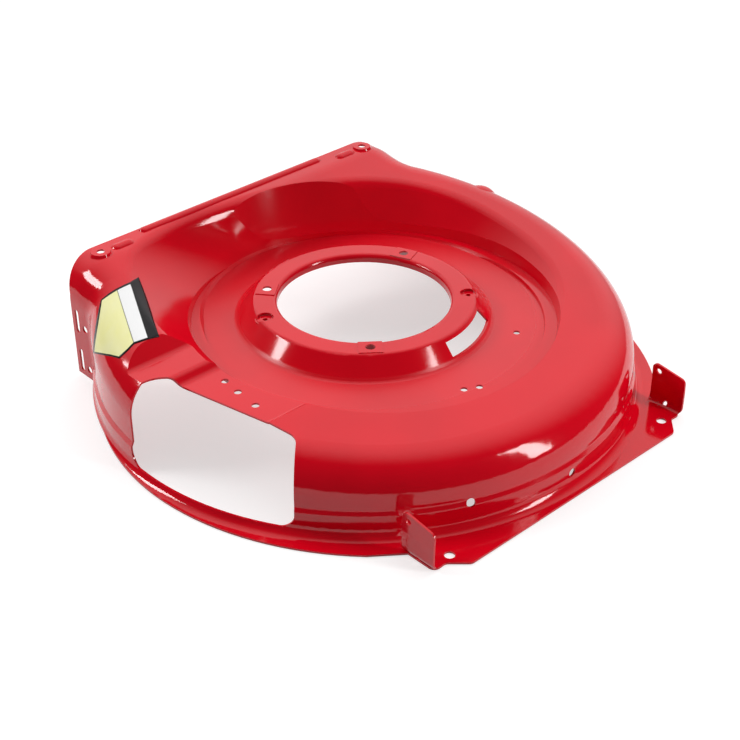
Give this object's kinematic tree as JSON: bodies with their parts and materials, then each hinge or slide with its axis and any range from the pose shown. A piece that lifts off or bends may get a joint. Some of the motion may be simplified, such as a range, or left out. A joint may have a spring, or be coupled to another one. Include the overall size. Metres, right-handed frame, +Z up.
{
  "type": "lawn mower deck",
  "caption": "Pressed steel mower deck in gloss red: round blade housing with a raised engine seat, a side discharge window, an open rear mouth and a front flange with folded ears.",
  "frame": {"origin": "engine axis at the upper face of the engine seat", "axes": "+Z up along the engine axis, -Y to the mower's front, +X to the mower's left"},
  "size_m": [0.583, 0.512, 0.1403],
  "materials": {
    "paint": "high gloss red",
    "label": "printed film"
  },
  "bodies": {
    "root": {"deck_shell": "paint"}
  },
  "joints": []
}
